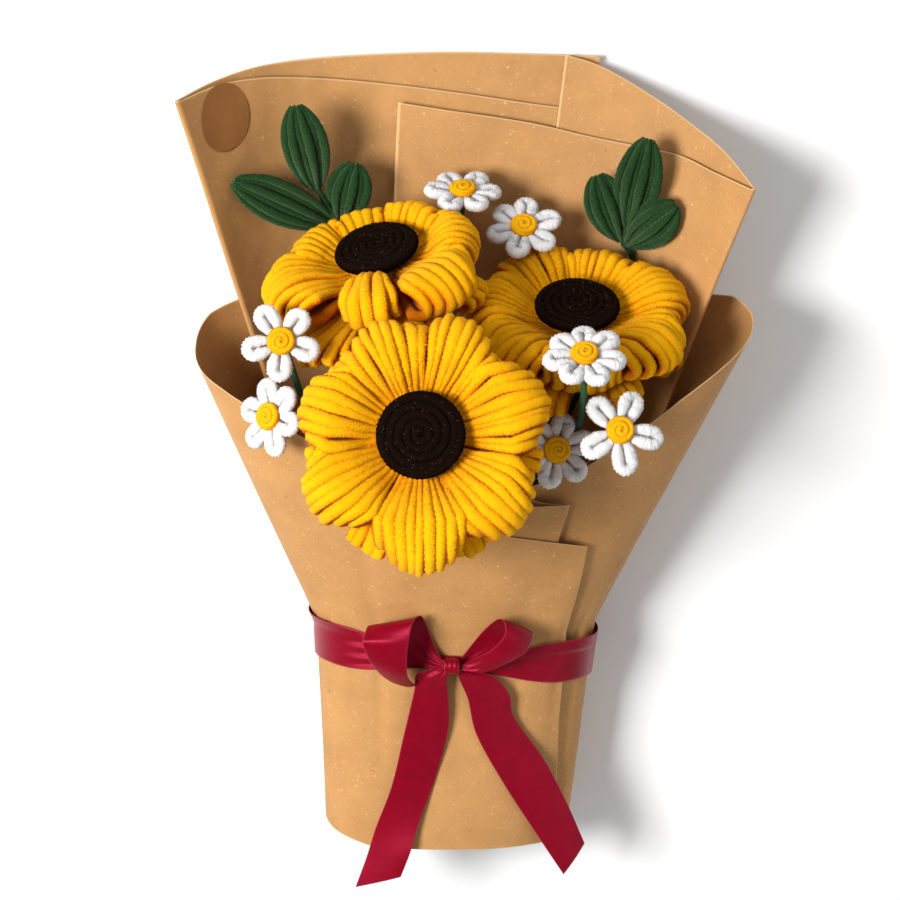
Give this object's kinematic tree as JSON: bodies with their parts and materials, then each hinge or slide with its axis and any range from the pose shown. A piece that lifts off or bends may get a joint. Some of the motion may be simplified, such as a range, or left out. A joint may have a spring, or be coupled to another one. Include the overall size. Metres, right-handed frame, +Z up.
{
  "type": "craft flower bouquet",
  "caption": "Bouquet of fuzzy chenille-stem sunflowers, daisies and leaf sprays, wrapped in folded kraft paper and tied with a burgundy satin ribbon; it lies on its back.",
  "frame": {"origin": "on the flat back of the wrap, where the bouquet lies on a table, 85 mm from the middle of the tie towards the flowers", "axes": "+Y runs from the tie towards the flowers, +Z is up out of the surface, and +X is to the right as the bouquet is seen from above with its flowers at the top"},
  "size_m": [0.3104, 0.467, 0.192],
  "materials": {
    "kraft_paper": "matt brown kraft paper with fine fibres and soft creases",
    "satin_ribbon": "burgundy satin weave with a soft sheen and woven edges",
    "yellow_chenille": "warm yellow chenille pile, soft and matt",
    "brown_chenille": "dark brown chenille pile in a coil",
    "white_chenille": "white chenille pile, soft and matt",
    "eye_chenille": "orange yellow chenille pile in a coil",
    "leaf_chenille": "dark green chenille pile with lighter ridges",
    "stem_chenille": "green chenille pile wound on wire",
    "foam": "fine dry floral foam, open cells, matt"
  },
  "bodies": {
    "root": {"back_left_sheet": "kraft_paper", "back_right_sheet": "kraft_paper", "daisy_1_eye": "eye_chenille", "daisy_1_petals": "white_chenille", "daisy_1_stem": "stem_chenille", "daisy_2_eye": "eye_chenille", "daisy_2_petals": "white_chenille", "daisy_2_stem": "stem_chenille", "daisy_3_eye": "eye_chenille", "daisy_3_petals": "white_chenille", "daisy_3_stem": "stem_chenille", "daisy_4_eye": "eye_chenille", "daisy_4_petals": "white_chenille", "daisy_4_stem": "stem_chenille", "daisy_5_eye": "eye_chenille", "daisy_5_petals": "white_chenille", "daisy_5_stem": "stem_chenille", "daisy_6_eye": "eye_chenille", "daisy_6_petals": "white_chenille", "daisy_6_stem": "stem_chenille", "daisy_7_eye": "eye_chenille", "daisy_7_petals": "white_chenille", "daisy_7_stem": "stem_chenille", "foam_block": "foam", "leaf_spray_left": "leaf_chenille", "leaf_spray_right": "leaf_chenille", "outer_wrap": "kraft_paper", "ribbon_band": "satin_ribbon", "ribbon_bow": "satin_ribbon", "sunflower_front_disc": "brown_chenille", "sunflower_front_petals": "yellow_chenille", "sunflower_front_stem": "stem_chenille", "sunflower_left_disc": "brown_chenille", "sunflower_left_petals": "yellow_chenille", "sunflower_left_stem": "stem_chenille", "sunflower_right_disc": "brown_chenille", "sunflower_right_petals": "yellow_chenille", "sunflower_right_stem": "stem_chenille"}
  },
  "joints": []
}
